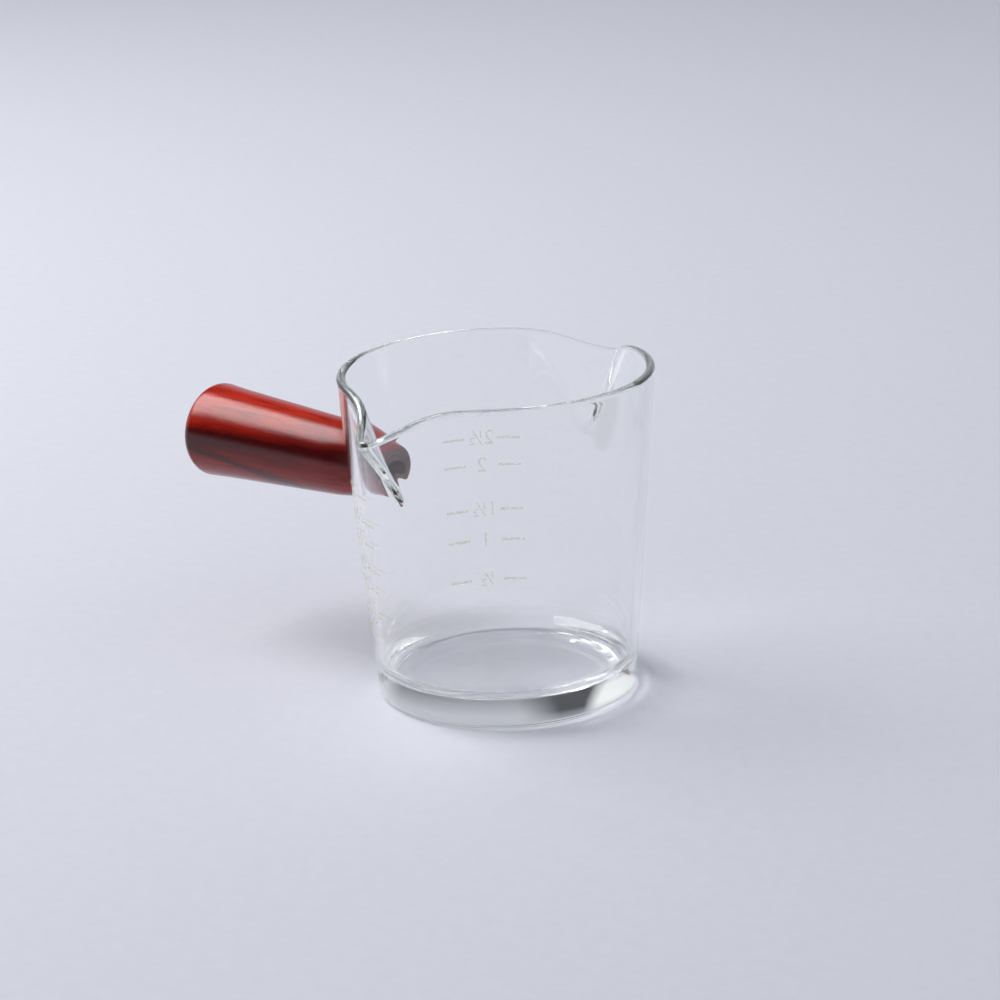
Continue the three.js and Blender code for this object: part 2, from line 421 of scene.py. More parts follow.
class FineMottle:
    """A node group that spreads a faint unevenness over a surface, in a value and a height."""

    NAME = "fine_mottle"
    DETAIL = 4.0
    ROUGHNESS = 0.6
    EDGES = (0.25, 0.75)

    @classmethod
    def group(cls) -> Tree:
        """Gives the group, which is built on first use.

        Returns:
            The node group.
        """
        made = bpy.data.node_groups.get(cls.NAME)
        if made:
            return made
        tree = bpy.data.node_groups.new(cls.NAME, "ShaderNodeTree")
        sockets = (("Vector", "INPUT", "NodeSocketVector"), ("Scale", "INPUT", "NodeSocketFloat"),
                   ("Low", "INPUT", "NodeSocketFloat"), ("High", "INPUT", "NodeSocketFloat"),
                   ("Value", "OUTPUT", "NodeSocketFloat"), ("Height", "OUTPUT", "NodeSocketFloat"))
        for name, side, kind in sockets:
            tree.interface.new_socket(name=name, in_out=side, socket_type=kind)
        bench = NodeBench(tree)
        start = bench.add("NodeGroupInput", "in")
        noise = bench.add("ShaderNodeTexNoise", "unevenness", {
            "Detail": cls.DETAIL, "Roughness": cls.ROUGHNESS})
        ranged = bench.add("ShaderNodeMapRange", "range", {
            "From Min": cls.EDGES[0], "From Max": cls.EDGES[1]})
        end = bench.add("NodeGroupOutput", "out")
        bench.join(start.outputs["Vector"], noise.inputs["Vector"])
        bench.join(start.outputs["Scale"], noise.inputs["Scale"])
        bench.join(noise.outputs["Fac"], ranged.inputs["Value"])
        bench.join(start.outputs["Low"], ranged.inputs["To Min"])
        bench.join(start.outputs["High"], ranged.inputs["To Max"])
        bench.join(ranged.outputs["Result"], end.inputs["Value"])
        bench.join(noise.outputs["Fac"], end.inputs["Height"])
        return tree

    @classmethod
    def place(cls, bench: NodeBench, vector: Socket, scale: float, low: float,
              high: float) -> Node:
        """Places the group in a material.

        Args:
            bench: The material's nodes.
            vector: Coordinates that the unevenness follows.
            scale: How fine it is, in waves per metre.
            low: Lowest value that it gives.
            high: Highest value that it gives.

        Returns:
            The placed group.
        """
        node = bench.add("ShaderNodeGroup", "fine mottle", node_tree=cls.group())
        node.inputs["Scale"].default_value = scale
        node.inputs["Low"].default_value = low
        node.inputs["High"].default_value = high
        bench.join(vector, node.inputs["Vector"])
        return node


class Finish:
    """What every finish has: a material with a surface shader and the object's own coordinates."""

    name: str

    def start(self) -> tuple[Material, NodeBench, Node, Socket]:
        """Starts the material.

        Returns:
            The material, its bench, its surface shader and the object's coordinates.
        """
        material = bpy.data.materials.new(self.name)
        material.use_nodes = True
        bench = NodeBench(material.node_tree)
        material.node_tree.nodes.clear()
        coordinates = bench.add("ShaderNodeTexCoord", "coordinates")
        surface = bench.add("ShaderNodeBsdfPrincipled", "surface")
        output = bench.add("ShaderNodeOutputMaterial", "output")
        bench.join(surface.outputs["BSDF"], output.inputs["Surface"])
        return material, bench, surface, coordinates.outputs["Object"]


@dataclass(frozen=True)
class ClearGlass(Finish):
    """Fire polished clear glass with faint waves and a trace of green in its depth."""

    name: str = "clear_glass"
    colour: Colour = (1.0, 1.0, 1.0, 1.0)
    ior: float = 1.5
    depth_colour: Colour = (0.80, 0.92, 0.86, 1.0)
    depth_density: float = 3.0
    wave_scale: float = 90.0
    wave_height: float = 0.005 * MM
    roughness: Range = (0.0, 0.012)

    def make(self) -> Material:
        """Builds the material.

        Returns:
            The material.
        """
        material, bench, surface, place = self.start()
        surface.inputs["Base Color"].default_value = self.colour
        surface.inputs["Transmission Weight"].default_value = 1.0
        surface.inputs["IOR"].default_value = self.ior
        mottle = FineMottle.place(bench, place, self.wave_scale, *self.roughness)
        bench.join(mottle.outputs["Value"], surface.inputs["Roughness"])
        bump = bench.add("ShaderNodeBump", "faint waves", {"Strength": 1.0, "Distance": self.wave_height})
        bench.join(mottle.outputs["Height"], bump.inputs["Height"])
        bench.join(bump.outputs["Normal"], surface.inputs["Normal"])
        depth = bench.add("ShaderNodeVolumeAbsorption", "depth", {
            "Color": self.depth_colour, "Density": self.depth_density})
        output = next(node for node in material.node_tree.nodes if node.type == "OUTPUT_MATERIAL")
        bench.join(depth.outputs["Volume"], output.inputs["Volume"])
        return material


@dataclass(frozen=True)
class LacqueredRosewood(Finish):
    """Red rosewood turned along its grain: layers of colour by height, wavy with the grain, whose lighter red
    top is a painted highlight and whose near-black middle band is painted shade; dark veins, fibres, pores,
    and lacquer over all.
    """

    name: str = "lacquered_wood"
    root: tuple[float, float, float] = (27.6 * MM, 0.0, -39.3 * MM)
    reach: float = 9.5 * MM
    # Colours by height across the handle: the lighter red towards the top is a painted highlight from the
    # lamp above, and the near-black band across the middle is painted shade standing in for the dark room in
    # front.
    painted_light_layers: tuple[tuple[float, Colour], ...] = (
        (0.00, (0.30, 0.010, 0.005, 1.0)),
        (0.30, (0.25, 0.008, 0.004, 1.0)),
        (0.46, (0.15, 0.004, 0.002, 1.0)),
        (0.55, (0.060, 0.001, 0.001, 1.0)),
        (0.66, (0.050, 0.001, 0.001, 1.0)),
        (0.76, (0.27, 0.008, 0.003, 1.0)),
        (0.86, (0.42, 0.022, 0.008, 1.0)),
        (0.94, (0.54, 0.026, 0.009, 1.0)),
        (1.00, (0.52, 0.022, 0.007, 1.0)))
    vein: Colour = (0.030, 0.001, 0.001, 1.0)
    vein_slope: float = 0.22
    vein_offset: float = 10.6 * MM
    vein_width: Range = (0.4 * MM, 1.7 * MM)
    vein_strength: float = 0.75
    waviness: float = 3.2 * MM
    wave_scale: float = 170.0
    wave_stretch: float = 0.16
    wave_edges: Range = (0.2, 0.8)
    noise_detail: float = 4.0
    noise_roughness: float = 0.55
    fibre_scale: float = 1700.0
    fibre_stretch: float = 0.04
    fibre_edges: Range = (0.40, 0.72)
    fibre_strength: float = 0.55
    pore_scale: float = 2600.0
    pore_stretch: float = 0.16
    pore_edges: Range = (0.06, 0.30)
    pore_strength: float = 0.22
    wear_scale: float = 260.0
    roughness: Range = (0.12, 0.20)
    specular: float = 0.44
    grain_scale: float = 3800.0
    grain_stretch: float = 0.8
    grain_strength: float = 0.9
    grain_depth: float = 0.03 * MM

    def _noise(self, bench: NodeBench, place: Socket, label: str, scale: float,
               stretch: float) -> Socket:
        """Lays a noise that is stretched along the handle.

        Args:
            bench: The material's nodes.
            place: Coordinates in the handle's frame.
            label: What the noise stands for.
            scale: How fine it is, in waves per metre.
            stretch: Share of that fineness along the handle.

        Returns:
            The socket of the noise.
        """
        along = bench.add("ShaderNodeMapping", label + " direction", {"Scale": (stretch, 1.0, 1.0)})
        bench.join(place, along.inputs["Vector"])
        noise = bench.add("ShaderNodeTexNoise", label, {
            "Scale": scale, "Detail": self.noise_detail, "Roughness": self.noise_roughness})
        bench.join(along.outputs["Vector"], noise.inputs["Vector"])
        return noise.outputs["Fac"]

    def _sum(self, bench: NodeBench, label: str, first: Socket,
             second: Socket) -> Socket:
        """Adds two values.

        Args:
            bench: The material's nodes.
            label: What the sum stands for.
            first: The socket of one value.
            second: The socket of the other value.

        Returns:
            The socket of the sum.
        """
        node = bench.add("ShaderNodeMath", label, operation="ADD")
        bench.join(first, node.inputs[0])
        bench.join(second, node.inputs[1])
        return node.outputs["Value"]

    def _painted_light_figure(self, bench: NodeBench, place: Socket) -> Socket:
        """Lays the layers by height, whose lighter red top is a painted highlight and whose near-black middle
        band is painted shade, and the slanting vein.

        Args:
            bench: The material's nodes.
            place: Coordinates in the handle's frame.

        Returns:
            The socket of the colour.
        """
        parts = bench.add("ShaderNodeSeparateXYZ", "parts of the place")
        bench.join(place, parts.inputs["Vector"])
        half = self.waviness / 2
        noise = self._noise(bench, place, "wavy layers", self.wave_scale, self.wave_stretch)
        wave = bench.span(noise, self.wave_edges, (-half, half), "wave")
        height = self._sum(bench, "wavy height", parts.outputs["Z"], wave)
        share = bench.span(height, (-self.reach, self.reach), (0.0, 1.0), "place in the layers")
        # Painted highlight and painted shade: this ramp runs by height, lighter red at the top and near-black
        # across the middle, with wavy edges that follow the grain.
        ramp = bench.add("ShaderNodeValToRGB", "growth layers")
        while len(ramp.color_ramp.elements) < len(self.painted_light_layers):
            ramp.color_ramp.elements.new(0.5)
        for element, (position, colour) in zip(ramp.color_ramp.elements, self.painted_light_layers):
            element.position = position
            element.color = colour
        bench.join(share, ramp.inputs["Fac"])
        slant = (self.vein_offset - self.vein_slope, self.vein_offset + self.vein_slope)
        slanted = bench.span(parts.outputs["X"], (-1.0, 1.0), slant, "slant")
        distance = bench.add("ShaderNodeMath", "distance from the vein", operation="ABSOLUTE")
        bench.join(self._sum(bench, "slanted height", height, slanted), distance.inputs[0])
        vein_share = bench.span(distance.outputs["Value"], self.vein_width, (self.vein_strength, 0.0),
                                "vein share")
        return bench.blend(vein_share, ramp.outputs["Color"], self.vein, "vein")

    def make(self) -> Material:
        """Builds the material.

        Returns:
            The material.
        """
        material, bench, surface, place = self.start()
        placed = bench.add("ShaderNodeMapping", "handle's frame", {"Location": self.root})
        bench.join(place, placed.inputs["Vector"])
        own = placed.outputs["Vector"]
        grain_and_painted_light = self._painted_light_figure(bench, own)
        fibre = self._noise(bench, own, "fibres", self.fibre_scale, self.fibre_stretch)
        fibre_share = bench.span(fibre, self.fibre_edges, (0.0, self.fibre_strength), "fibre share")
        fibred = bench.blend(fibre_share, grain_and_painted_light, self.vein, "fibres on layers")
        pore_place = bench.add("ShaderNodeMapping", "pore direction", {
            "Scale": (self.pore_stretch, 1.0, 1.0)})
        bench.join(own, pore_place.inputs["Vector"])
        pores = bench.add("ShaderNodeTexVoronoi", "pores", {"Scale": self.pore_scale, "Randomness": 1.0})
        bench.join(pore_place.outputs["Vector"], pores.inputs["Vector"])
        pore_share = bench.span(pores.outputs["Distance"], self.pore_edges, (self.pore_strength, 0.0),
                                "pore share")
        bench.join(bench.blend(pore_share, fibred, self.vein, "pores"), surface.inputs["Base Color"])
        wear = FineMottle.place(bench, place, self.wear_scale, *self.roughness)
        bench.join(wear.outputs["Value"], surface.inputs["Roughness"])
        surface.inputs["Specular IOR Level"].default_value = self.specular
        grain = self._noise(bench, own, "open grain", self.grain_scale, self.grain_stretch)
        bump = bench.add("ShaderNodeBump", "open grain's depth", {
            "Strength": self.grain_strength, "Distance": self.grain_depth})
        bench.join(grain, bump.inputs["Height"])
        bench.join(bump.outputs["Normal"], surface.inputs["Normal"])
        return material


@dataclass(frozen=True)
class FiredEnamel(Finish):
    """Cream enamel, printed thin and fired, so that some light comes through it."""

    name: str = "scale_print"
    cream: Colour = (0.82, 0.76, 0.60, 1.0)
    bare: Colour = (0.72, 0.65, 0.48, 1.0)
    cover: Range = (0.26, 0.36)
    ink_scale: float = 1800.0
    cover_scale: float = 700.0
    roughness: float = 0.45

    def make(self) -> Material:
        """Builds the material.

        Returns:
            The material.
        """
        material, bench, surface, place = self.start()
        mottle = FineMottle.place(bench, place, self.ink_scale, 0.0, 1.0)
        bench.join(bench.blend(mottle.outputs["Value"], self.bare, self.cream, "uneven ink"),
                   surface.inputs["Base Color"])
        thin = FineMottle.place(bench, place, self.cover_scale, *self.cover)
        bench.join(thin.outputs["Value"], surface.inputs["Alpha"])
        surface.inputs["Roughness"].default_value = self.roughness
        return material


@dataclass(frozen=True)
class CuredResin(Finish):
    """Brown tinted resin that has set in the joint."""

    name: str = "cured_adhesive"
    thin: Colour = (0.12, 0.052, 0.032, 1.0)
    thick: Colour = (0.08, 0.032, 0.020, 1.0)
    mottle_scale: float = 420.0
    gloss_scale: float = 900.0
    roughness: Range = (0.12, 0.30)

    def make(self) -> Material:
        """Builds the material.

        Returns:
            The material.
        """
        material, bench, surface, place = self.start()
        mottle = FineMottle.place(bench, place, self.mottle_scale, 0.0, 1.0)
        bench.join(bench.blend(mottle.outputs["Value"], self.thin, self.thick, "uneven resin"),
                   surface.inputs["Base Color"])
        gloss = FineMottle.place(bench, place, self.gloss_scale, *self.roughness)
        bench.join(gloss.outputs["Value"], surface.inputs["Roughness"])
        return material


@dataclass(frozen=True)
class TableTop(Finish):
    """A plain pale table with the faintest grain."""

    name: str = "pale_table"
    light: Colour = (0.655, 0.665, 0.725, 1.0)
    shade: Colour = (0.625, 0.635, 0.700, 1.0)
    grain_scale: float = 320.0
    roughness: float = 0.85
    specular: float = 0.2

    def make(self) -> Material:
        """Builds the material.

        Returns:
            The material.
        """
        material, bench, surface, place = self.start()
        mottle = FineMottle.place(bench, place, self.grain_scale, 0.0, 1.0)
        bench.join(bench.blend(mottle.outputs["Value"], self.light, self.shade, "faint grain"),
                   surface.inputs["Base Color"])
        surface.inputs["Roughness"].default_value = self.roughness
        surface.inputs["Specular IOR Level"].default_value = self.specular
        return material


@dataclass(frozen=True)
class HandleJoint:
    """Where the handle meets the cup, and the sizes that the stub and the handle share.

    The rise of the handle's free end is in degrees.
    """

    height: float = 39.3 * MM
    rise: float = 0.8
    root_gap: float = 0.8 * MM
    stub_radius: float = 2.25 * MM
    stub_length: float = 16.0 * MM
    stub_fillet: float = 1.0 * MM
    stub_end: float = 1.0 * MM
    joint_gap: float = 0.3 * MM

    def place(self, form: CupForm) -> Matrix:
        """Gives the handle's own frame, whose Z axis points away from the cup.

        Args:
            form: The cup's form.

        Returns:
            The frame as a matrix.
        """
        root = Matrix.Translation((-form.outer_radius(self.height), 0, self.height))
        return root @ Matrix.Rotation(math.radians(self.rise - 90), 4, "Y")


@dataclass
class GlassCup:
    """The cup: wall, thick floor, rim, two spouts, and the stub that holds the handle."""

    form: CupForm
    joint: HandleJoint
    columns: int = 288
    crowding: float = 0.7
    spout_rows: int = 36
    rim_steps: int = 20
    edge_steps: int = 8
    corner_steps: int = 24
    stub_columns: int = 96
    lower_rows: tuple[float, ...] = (0.12, 0.3, 0.5, 0.7, 0.88)
    corner_rows: int = 2
    floor_rows: tuple[float, ...] = (0.66, 0.33, 0.0)
    foot_overlap: float = 0.15 * MM
    foot_blend: float = 2.5 * MM
    crease: float = 40.0

    def _profile(self) -> Profile:
        """Gives the profile of the whole cup.

        The lowest rows of the wall are left out on the inside, where the floor's corner takes their place.

        Returns:
            The profile from the middle of the underside round the rim to the middle of the floor.
        """
        form = self.form
        quarter = math.pi / 2
        points: Profile = [(0.0, 0.0)]
        edge_middle = (form.base_radius - form.base_edge, form.base_edge)
        points += Bench.arc(edge_middle, form.base_edge, -quarter, -form.lean, self.edge_steps)
        spout_foot = form.wall_top - form.spout_length
        rows = [spout_foot * share for share in self.lower_rows]
        rows += [spout_foot + form.spout_length * step / self.spout_rows
                 for step in range(self.spout_rows + 1)]
        half = form.wall / 2
        points += [form.wall_point(row, half) for row in rows]
        turns = [math.pi * step / self.rim_steps for step in range(1, self.rim_steps)]
        points += [form.wall_point(form.wall_top + half * math.sin(a), half * math.cos(a)) for a in turns]
        points += [form.wall_point(row, -half) for row in reversed(rows[self.corner_rows:])]
        inner = form.wall_point(0, -half)
        width, height = form.floor_corner_width, form.floor_corner_height
        corner_wall = form.wall_point((form.floor + height - inner[1]) / form.wall_up.y, -half)
        corner = (corner_wall[0] - width, form.floor + height)
        turns = [quarter * step / self.corner_steps for step in range(self.corner_steps + 1)]
        points += [(corner[0] + width * math.cos(a), corner[1] - height * math.sin(a)) for a in turns]
        points += [(corner[0] * share, form.floor) for share in self.floor_rows]
        return points

    def _pull_spouts(self, points: np.ndarray) -> np.ndarray:
        """Crowds the columns towards the spouts and pulls the spouts out of the wall.

        Args:
            points: Rows of points of the turned cup.

        Returns:
            The rows of points of the finished cup.
        """
        form = self.form
        radius = np.hypot(points[:, 0], points[:, 1])
        angle = np.arctan2(points[:, 0], -points[:, 1])
        angle = angle - self.crowding / 2 * np.sin(2 * angle)
        moved = np.stack([radius * np.sin(angle), -radius * np.cos(angle), points[:, 2]], axis=-1)
        from_foot = np.stack([radius - form.wall_foot.x, points[:, 2] - form.wall_foot.y], axis=-1)
        along = from_foot @ np.array(form.wall_up)
        outwards = from_foot @ np.array(form.wall_out)
        pulled = (along > form.wall_top - form.spout_length) & (np.abs(outwards) < form.wall)
        rear = np.abs(angle) > math.pi / 2
        local = np.where(rear, angle - np.sign(angle) * math.pi, angle)
        carried = form.carried(local[pulled], along[pulled], outwards[pulled])
        carried[rear[pulled], :2] *= -1
        moved[pulled] = carried
        return moved

    def _stub(self) -> Piece:
        """Builds the stub, whose filleted foot follows the wall.

        Returns:
            The stub, cut off at the middle of the wall.
        """
        form, joint = self.form, self.joint
        quarter = math.pi / 2
        fillet_middle = (joint.stub_radius + joint.stub_fillet, joint.stub_fillet)
        sunk = -form.wall - joint.stub_fillet
        points: Profile = [(0.0, sunk), (fillet_middle[0], sunk), (fillet_middle[0], -self.foot_overlap)]
        points += Bench.arc(fillet_middle, joint.stub_fillet, -quarter, -2 * quarter, 2 * self.edge_steps)
        end_middle = (joint.stub_radius - joint.stub_end, joint.stub_length - joint.stub_end)
        points += Bench.arc(end_middle, joint.stub_end, 0.0, quarter, self.edge_steps)
        points += [(0.0, joint.stub_length)]
        stub = Bench.turn("stub", points, self.stub_columns)
        place = joint.place(form)
        root = form.outer_radius(joint.height)

        def follow_wall(rows: np.ndarray) -> np.ndarray:
            """Moves the foot's points along the axis until the foot lies on the round wall.

            Args:
                rows: Rows of points in the handle's frame.

            Returns:
                The rows of points in their place on the cup.
            """
            away = rows[:, 2].copy()
            placed = rows @ np.array(place.to_3x3()).T + np.array(place.translation)
            wall_radius = form.outer_radius(placed[:, 2])
            wall_x = -np.sqrt(np.maximum(wall_radius**2 - placed[:, 1] ** 2, 0.0))
            share = 1 - np.clip(away / self.foot_blend, 0, 1)
            placed[:, 0] += (wall_x + root) * share * share * (3 - 2 * share)
            return placed

        Bench.move_points(stub, follow_wall)
        middle = [(0.0, -form.height), (form.wall_foot.x, -form.height)]
        middle += [form.wall_point(0, 0), form.wall_point(form.wall_top, 0), (0.0, form.height)]
        Bench.meet(stub, Bench.turn("cup_middle", middle, self.columns), BooleanWay.CUT)
        return stub

    def build(self, finish: Material) -> Piece:
        """Builds and dresses the cup.

        Args:
            finish: The glass.

        Returns:
            The finished piece.
        """
        cup = Bench.turn("clear_cup", self._profile(), self.columns)
        Bench.move_points(cup, self._pull_spouts)
        Bench.meet(cup, self._stub(), BooleanWay.JOIN)
        Bench.smooth(cup, self.crease)
        Bench.dress(cup, finish)
        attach(cup, BODY)
        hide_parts("glass_cup")
        return cup


@dataclass
class TurnedHandle:
    """The wood handle: a taper with soft edges and a blind bore for the stub."""

    form: CupForm
    joint: HandleJoint
    free_end: float = 48.2 * MM
    root_radius: float = 4.95 * MM
    end_radius: float = 9.5 * MM
    draw: float = 2.0 * MM
    draw_length: float = 12.0 * MM
    root_edge: float = 0.8 * MM
    end_edge: float = 2.2 * MM
    glue: float = 0.4 * MM
    bore_clearance: float = 1.5 * MM
    columns: int = 160
    edge_steps: int = 10
    draw_rows: int = 16
    body_rows: int = 8
    crease: float = 40.0

    @property
    def bore(self) -> float:
        """Radius of the bore."""
        return self.joint.stub_radius + 2 * self.joint.joint_gap + self.glue

    @property
    def bore_end(self) -> float:
        """Distance of the bore's bottom from the cup's wall."""
        return self.joint.stub_length + self.bore_clearance

    def _radius(self, from_root: float) -> float:
        """Gives the handle's radius: a straight taper, drawn in near the root.

        Args:
            from_root: Distance from the root.

        Returns:
            The radius there.
        """
        draw = max(0.0, 1 - from_root / self.draw_length) ** 2
        return self.root_radius + self.draw + self._slope() * from_root - self.draw * draw

    def _slope(self) -> float:
        """Gives the slope of the straight taper."""
        return (self.end_radius - self.root_radius - self.draw) / (self.free_end - self.joint.root_gap)

    def _profile(self) -> Profile:
        """Gives the profile of the handle.

        Returns:
            The profile from the bottom of the bore to the middle of the free end.
        """
        joint = self.joint
        quarter = math.pi / 2
        start, end = joint.root_gap, self.free_end
        bore, bore_end = self.bore, self.bore_end
        lean = math.atan(self._slope() + 2 * self.draw / self.draw_length)
        edge_end = self.root_edge * (1 - math.sin(lean))
        edge = (self._radius(edge_end) - self.root_edge * math.cos(lean), start + self.root_edge)
        points: Profile = [(0.0, bore_end), (bore, bore_end), (bore, start)]
        points += Bench.arc(edge, self.root_edge, -quarter, -lean, self.edge_steps)
        last_arc = Bench.arc((self.end_radius - self.end_edge, end - self.end_edge), self.end_edge,
                             -math.atan(self._slope()), quarter, self.edge_steps)
        body_end = last_arc[0][1] - start
        rows = [edge_end + (self.draw_length - edge_end) * row / self.draw_rows
                for row in range(1, self.draw_rows)]
        rows += [self.draw_length + (body_end - self.draw_length) * row / self.body_rows
                 for row in range(self.body_rows)]
        points += [(self._radius(row), start + row) for row in rows]
        return points + last_arc + [(0.0, end)]

    def build(self, finish: Material) -> Piece:
        """Builds and dresses the handle.

        Args:
            finish: The wood.

        Returns:
            The finished piece.
        """
        handle = Bench.turn("turned_handle", self._profile(), self.columns)
        Bench.set_down(handle, self.joint.place(self.form))
        Bench.smooth(handle, self.crease)
        Bench.dress(handle, finish)
        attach(handle, BODY)
        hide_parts("wood_handle")
        return handle


@dataclass
class JointResin:
    """The resin that fills the bore round the stub and the gap to the wall, wetting the glass all over."""

    form: CupForm
    joint: HandleJoint
    handle: TurnedHandle
    wetting: float = 0.01 * MM
    wall_wetting: float = 0.05 * MM
    columns: int = 96
    edge_steps: int = 8
    crease: float = 40.0

    def build(self, finish: Material) -> Piece:
        """Builds and dresses the resin.

        Args:
            finish: The resin.

        Returns:
            The finished piece.
        """
        joint = self.joint
        start = -self.wall_wetting
        inner = joint.stub_radius - self.wetting
        outer = self.handle.bore - self.wetting
        end_middle = (joint.stub_radius - joint.stub_end, joint.stub_length - joint.stub_end)
        points: Profile = [(0.0, joint.stub_length - self.wetting)]
        points += Bench.arc(end_middle, joint.stub_end - self.wetting, math.pi / 2, 0.0, self.edge_steps)
        points += [(inner, start), (outer, start), (outer, self.handle.bore_end), (0.0, self.handle.bore_end)]
        resin = Bench.turn("joint_resin", points, self.columns)
        Bench.set_down(resin, joint.place(self.form))
        Bench.smooth(resin, self.crease)
        Bench.dress(resin, finish)
        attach(resin, BODY)
        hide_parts("handle_adhesive")
        return resin


@dataclass(frozen=True)
class ScaleRow:
    """One row of a printed scale: its height, its number, and how far its dashes reach from the middle."""

    height: float
    number: str
    inner: float
    outer: float


@dataclass
class PrintedScale:
    """A scale printed on the outside of the wall: rows of dashes with numbers between them.

    Its centre is an angle in degrees from +X towards +Y.
    """

    unit: ScaleUnit
    form: CupForm
    centre: float
    rows: Sequence[ScaleRow]
    stroke: float = 0.50 * MM
    number_height: float = 3.0 * MM
    height_share: float = 0.72
    curve_steps: int = 5
    gap: float = 0.01 * MM
    proud: float = 0.03 * MM
    cuts: int = 7
    crease: float = 30.0
    pieces: list[Piece] = field(default_factory=list)

    def _dash(self) -> Piece:
        """Models one dash, a metre long and flat, to be copied into the rows.

        Returns:
            The dash.
        """
        Bench.clear()
        bpy.ops.mesh.primitive_plane_add(size=1)
        dash = bpy.context.object
        bpy.ops.object.mode_set(mode="EDIT")
        bpy.ops.mesh.select_all(action="SELECT")
        bpy.ops.transform.resize(value=(1, self.stroke, 1))
        bpy.ops.mesh.subdivide(number_cuts=self.cuts)
        bpy.ops.mesh.select_all(action="SELECT")
        bpy.ops.transform.translate(value=(0, 0, self.gap))
        bpy.ops.mesh.extrude_region_move(TRANSFORM_OT_translate={"value": (0, 0, self.proud - self.gap)})
        bpy.ops.mesh.select_all(action="SELECT")
        bpy.ops.mesh.normals_make_consistent(inside=False)
        bpy.ops.object.mode_set(mode="OBJECT")
        return dash

    def _number(self, row: ScaleRow) -> Piece:
        """Models the number of a row, flat.

        Args:
            row: The row.

        Returns:
            The number as a mesh.
        """
        Bench.clear()
        bpy.ops.object.text_add()
        number = bpy.context.object
        number.data.body = row.number
        number.data.size = self.number_height / self.height_share
        number.data.align_x = "CENTER"
        number.data.align_y = "CENTER"
        number.data.extrude = (self.proud - self.gap) / 2
        number.data.resolution_u = self.curve_steps
        bpy.ops.object.convert(target="MESH")
        number = bpy.context.object
        Bench.set_down(number, Matrix.Translation((0, row.height, (self.proud + self.gap) / 2)))
        return number

    def _wrap(self, points: np.ndarray) -> np.ndarray:
        """Wraps flat points round the wall.

        Args:
            points: Rows of distance along the print, height, and distance out of the wall.

        Returns:
            The rows of points on the wall.
        """
        radius = self.form.outer_radius(points[:, 1])
        angle = math.radians(self.centre) + points[:, 0] / radius
        out = radius + points[:, 2]
        return np.stack([out * np.cos(angle), out * np.sin(angle), points[:, 1]], axis=-1)

    def build(self, finish: Material) -> Piece:
        """Builds and dresses the scale.

        Args:
            finish: The enamel.

        Returns:
            The finished piece.
        """
        model = self._dash()
        for row in self.rows:
            for side in (-1, 1):
                dash = model.copy()
                dash.data = model.data.copy()
                bpy.context.collection.objects.link(dash)
                length = row.outer - row.inner
                middle = side * (row.outer + row.inner) / 2
                place = Matrix.Translation((middle, row.height, 0)) @ Matrix.Diagonal((length, 1, 1, 1))
                Bench.set_down(dash, place)
                self.pieces.append(dash)
            self.pieces.append(self._number(row))
        bpy.data.objects.remove(model)
        Bench.pick(self.pieces[0])
        for piece in self.pieces:
            piece.select_set(True)
        bpy.ops.object.join()
        scale = bpy.context.object
        scale.name = scale.data.name = self.unit.value
        Bench.move_points(scale, self._wrap)
        Bench.smooth(scale, self.crease)
        Bench.dress(scale, finish)
        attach(scale, BODY)
        return scale


@dataclass(frozen=True)
class PaleSide:
    """A pale side of the room: where it is, how softly it ends sideways and upwards, and its colour.

    The edges are cosines of angles from its middle, and the rise is in sines of angles above the table.
    """

    azimuth: float
    edges: Range
    rise: Range
    colour: Colour


